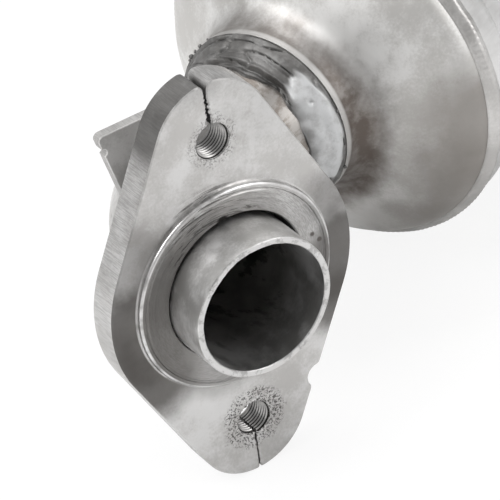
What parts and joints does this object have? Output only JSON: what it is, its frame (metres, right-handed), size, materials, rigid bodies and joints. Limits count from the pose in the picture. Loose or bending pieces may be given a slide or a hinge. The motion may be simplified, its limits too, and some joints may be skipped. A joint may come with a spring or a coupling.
{
  "type": "catalytic converter",
  "caption": "Round stainless exhaust catalyst can with pressed domes, bent inlet pipe and bolted end flanges; cleans exhaust gas passing through its ceramic bricks.",
  "frame": {"origin": "centre of the inlet flange's front face, on the inlet pipe's axis", "axes": "+X along the can in the direction of gas flow, +Z along the inlet flange from its lower bolt hole to its upper one; the gas enters 68 degrees off +X, towards +Y"},
  "size_m": [0.3907, 0.1077, 0.122],
  "materials": {
    "flange_steel": "cut plate, satin, slightly stained",
    "pipe_steel": "drawn stainless tube, satin",
    "dome_steel": "pressed stainless sheet with brown heat smudges",
    "can_steel": "rolled stainless sheet, satin",
    "weld_metal": "as welded, dark and rippled",
    "bracket_steel": "dull grey sheared plate",
    "brick_ceramic": "matt wash-coated honeycomb",
    "mat_fibre": "pressed mineral fibre",
    "seal_wire": "knitted wire"
  },
  "bodies": {
    "root": {"bracket": "bracket_steel", "bracket_weld": "weld_metal", "can_seam_weld": "weld_metal", "can_shell": "can_steel", "front_brick": "brick_ceramic", "front_inlet_seal": "seal_wire", "front_mat": "mat_fibre", "front_outlet_seal": "seal_wire", "inlet_dome": "dome_steel", "inlet_dome_weld": "weld_metal", "inlet_flange": "flange_steel", "inlet_flange_weld": "weld_metal", "inlet_neck_weld": "weld_metal", "inlet_pipe": "pipe_steel", "outlet_dome": "dome_steel", "outlet_dome_weld": "weld_metal", "outlet_flange": "flange_steel", "outlet_flange_weld": "weld_metal", "outlet_neck_weld": "weld_metal", "outlet_pipe": "pipe_steel", "rear_brick": "brick_ceramic", "rear_inlet_seal": "seal_wire", "rear_mat": "mat_fibre", "rear_outlet_seal": "seal_wire"}
  },
  "joints": []
}
